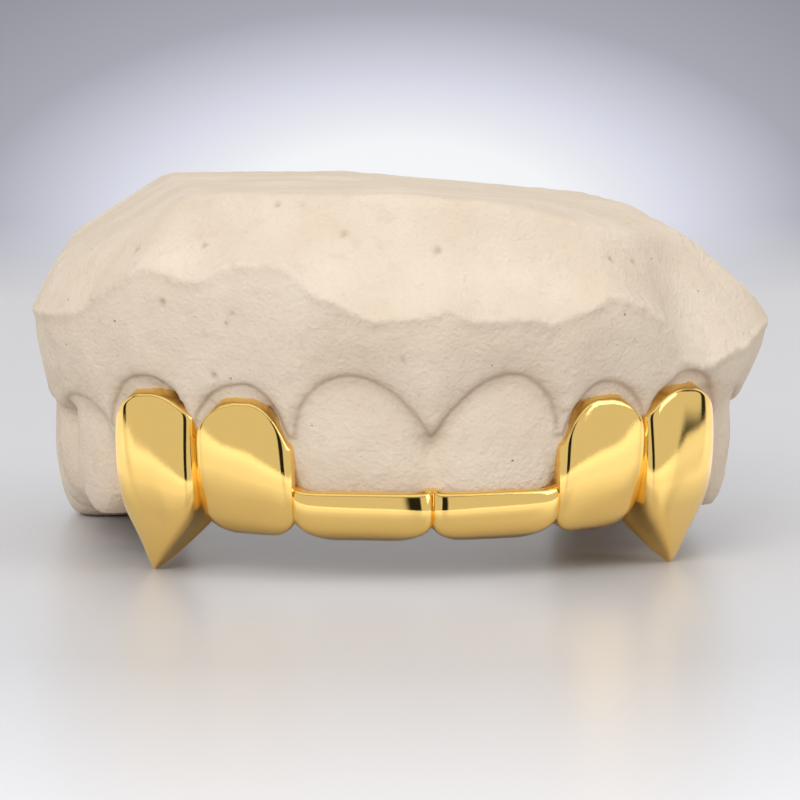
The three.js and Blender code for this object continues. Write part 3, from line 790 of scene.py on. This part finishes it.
def painted_light_floor(settings):
    """A half-gloss floor with painted light: painted paler some way off the part on the near side, and with a
    painted glow some way off that only glossy rays see.
    """
    material, tree, shader = new_material("painted_light_floor")
    far = tree.nodes.new("ShaderNodeVectorMath")
    far.operation = "LENGTH"
    tree.links.new(object_places(tree), far.inputs[0])
    apart = tree.nodes.new("ShaderNodeSeparateXYZ")
    tree.links.new(object_places(tree), apart.inputs[0])
    # Painted light: a paler share some way off the part, faded out behind it.
    front = mapped(tree, apart.outputs["Y"], *FLOOR_PAINTED_LIGHT_BACK, 1, 0)
    share = math_node(tree, "MULTIPLY", mapped(tree, far.outputs["Value"], *FLOOR_PAINTED_LIGHT_FROM), front)
    tree.links.new(mixed(tree, settings.floor_colour, settings.painted_light_floor, share), shader.inputs["Base Color"])
    shader.inputs["Roughness"].default_value = 0.3
    # Painted glow: the floor gives off light in glossy rays only, so the gold mirrors a brighter floor than the
    # camera sees.
    shader.inputs["Emission Color"].default_value = (*settings.painted_light_floor, 1)
    mirrored = tree.nodes.new("ShaderNodeLightPath").outputs["Is Glossy Ray"]
    painted_glow = mapped(tree, far.outputs["Value"], *FLOOR_PAINTED_GLOW_FROM, 0, FLOOR_PAINTED_GLOW)
    tree.links.new(math_node(tree, "MULTIPLY", mirrored, painted_glow), shader.inputs["Emission Strength"])
    return material


def backdrop():
    """An upright sheet behind the part with a pale glow in its middle, which fades out down to the floor."""
    bm = bmesh.new()
    matrix = Matrix.Translation(BACKDROP_PLACE) @ Matrix.Rotation(math.pi / 2, 4, "X")
    bmesh.ops.create_grid(bm, x_segments=1, y_segments=1, size=BACKDROP_SIZE, matrix=matrix)
    mesh = bpy.data.meshes.new("backdrop")
    bm.to_mesh(mesh)
    bm.free()
    sheet = bpy.data.objects.new("backdrop", mesh)
    bpy.context.scene.collection.objects.link(sheet)
    material, tree, _ = new_material("backdrop")
    apart = tree.nodes.new("ShaderNodeSeparateXYZ")
    tree.links.new(object_places(tree), apart.inputs[0])
    squares = []
    for axis, middle, reach in zip("XZ", GLOW_MIDDLE, GLOW_REACH):
        share = math_node(tree, "DIVIDE", math_node(tree, "SUBTRACT", apart.outputs[axis], middle), reach)
        squares.append(math_node(tree, "POWER", share, 2))
    off = math_node(tree, "SQRT", math_node(tree, "ADD", *squares))
    glow = ramp(tree, math_node(tree, "DIVIDE", off, GLOW_END), GLOW)
    light = tree.nodes.new("ShaderNodeEmission")
    tree.links.new(glow.outputs["Color"], light.inputs["Color"])
    clear = tree.nodes.new("ShaderNodeBsdfTransparent")
    shown = tree.nodes.new("ShaderNodeMixShader")
    tree.links.new(mapped(tree, apart.outputs["Z"], 0, BACKDROP_FADE), shown.inputs["Fac"])
    tree.links.new(clear.outputs[0], shown.inputs[1])
    tree.links.new(light.outputs[0], shown.inputs[2])
    tree.links.new(shown.outputs[0], tree.nodes["Material Output"].inputs["Surface"])
    mesh.materials.append(material)
    for ray in ("diffuse", "glossy", "transmission", "shadow"):
        setattr(sheet, f"visible_{ray}", False)


def studio_light(scene):
    """Soft light from all round. The gold mirrors its bright sides and the dark gaps between them."""
    world = bpy.data.worlds.new("studio")
    world.use_nodes = True
    tree = world.node_tree
    where = tree.nodes.new("ShaderNodeTexCoord").outputs["Generated"]
    apart = tree.nodes.new("ShaderNodeSeparateXYZ")
    tree.links.new(where, apart.inputs[0])
    front = math_node(tree, "MULTIPLY", apart.outputs["Y"], -1)
    azimuth = math_node(tree, "ARCTAN2", apart.outputs["X"], front)
    turn = math_node(tree, "DIVIDE", math_node(tree, "ABSOLUTE", azimuth), math.pi)
    walls = ramp(tree, turn, SURROUND)
    dome = ramp(tree, math_node(tree, "ABSOLUTE", apart.outputs["Z"]), DOME)
    mixed = tree.nodes.new("ShaderNodeMix")
    mixed.data_type = "RGBA"
    tree.links.new(dome.outputs["Alpha"], mixed.inputs["Factor"])
    tree.links.new(walls.outputs["Color"], mixed.inputs["A"])
    tree.links.new(dome.outputs["Color"], mixed.inputs["B"])
    seen = tree.nodes.new("ShaderNodeMix")
    seen.data_type = "RGBA"
    seen.inputs["B"].default_value = (*BACKGROUND, 1)
    tree.links.new(tree.nodes.new("ShaderNodeLightPath").outputs["Is Camera Ray"], seen.inputs["Factor"])
    tree.links.new(mixed.outputs["Result"], seen.inputs["A"])
    tree.links.new(seen.outputs["Result"], tree.nodes["Background"].inputs["Color"])
    scene.world = world
    scene.view_settings.view_transform = "Standard"
    for row in LAMPS:
        light = bpy.data.lights.new(row["name"], "AREA")
        light.size = row["size"]
        light.energy = row["power"]
        lamp = bpy.data.objects.new(row["name"], light)
        lamp.location = row["place"]
        lamp.rotation_euler = Vector(row["place"]).to_track_quat("Z", "Y").to_euler()
        lamp.visible_glossy = row["mirrored"]
        scene.collection.objects.link(lamp)


def math_node(tree, operation, *values):
    """The output of a math node over sockets and numbers."""
    node = tree.nodes.new("ShaderNodeMath")
    node.operation = operation
    for socket, value in zip(node.inputs, values):
        if isinstance(value, bpy.types.NodeSocket):
            tree.links.new(value, socket)
        else:
            socket.default_value = value
    return node.outputs[0]


def ramp(tree, value, stops):
    """A colour ramp over a value, from a table of positions, greys and shares."""
    node = tree.nodes.new("ShaderNodeValToRGB")
    tree.links.new(value, node.inputs[0])
    elements = node.color_ramp.elements
    while len(elements) < len(stops):
        elements.new(0.5)
    for element, stop in zip(elements, stops):
        element.position = stop["at"]
        element.color = (*(stop["light"] * tint for tint in stop.get("tint", COOL)), stop.get("share", 1))
    return node


def camera_back(stage):
    """Direction from the part to the camera."""
    level = math.cos(stage.elevation)
    return Vector((math.sin(stage.azimuth) * level, -math.cos(stage.azimuth) * level, math.sin(stage.elevation)))


def camera_place(stage):
    """The camera's place, in metres."""
    return Vector(CAMERA_AIM) * MM + camera_back(stage) * stage.distance


def photo_camera(scene, settings):
    """The camera at the photograph's viewing angle."""
    data = bpy.data.cameras.new("camera")
    data.sensor_width = SENSOR
    data.lens = settings.lens
    camera = bpy.data.objects.new("camera", data)
    camera.location = camera_place(settings)
    camera.rotation_euler = camera_back(settings).to_track_quat("Z", "Y").to_euler()
    scene.collection.objects.link(camera)
    scene.camera = camera


class GRILL_PT_panel(bpy.types.Panel):
    """The makers of the grill, the cast and the stage"""

    bl_label = "Fang Grill"
    bl_idname = "GRILL_PT_panel"
    bl_space_type = "VIEW_3D"
    bl_region_type = "UI"
    bl_category = "Fang Grill"

    def draw(self, context):
        for operator in OPERATORS:
            self.layout.operator(operator.bl_idname)
        for group in ("grill_settings", "cast_settings", "stage_settings"):
            settings = getattr(context.scene, group)
            for key in settings.__annotations__:
                self.layout.prop(settings, key)


OPERATORS = (GRILL_OT_caps, GRILL_OT_cast, GRILL_OT_stage)
CLASSES = (GrillSettings, CastSettings, StageSettings, *OPERATORS, GRILL_PT_panel)


def register():
    for item in CLASSES:
        bpy.utils.register_class(item)
    bpy.types.Scene.grill_settings = PointerProperty(type=GrillSettings)
    bpy.types.Scene.cast_settings = PointerProperty(type=CastSettings)
    bpy.types.Scene.stage_settings = PointerProperty(type=StageSettings)


def unregister():
    del bpy.types.Scene.stage_settings
    del bpy.types.Scene.cast_settings
    del bpy.types.Scene.grill_settings
    for item in reversed(CLASSES):
        bpy.utils.unregister_class(item)


def main():
    """Makes the pieces and the stage in order."""
    register()
    bpy.ops.grill.caps()
    bpy.ops.grill.cast()
    bpy.ops.grill.stage()


if __name__ == "__main__":
    main()
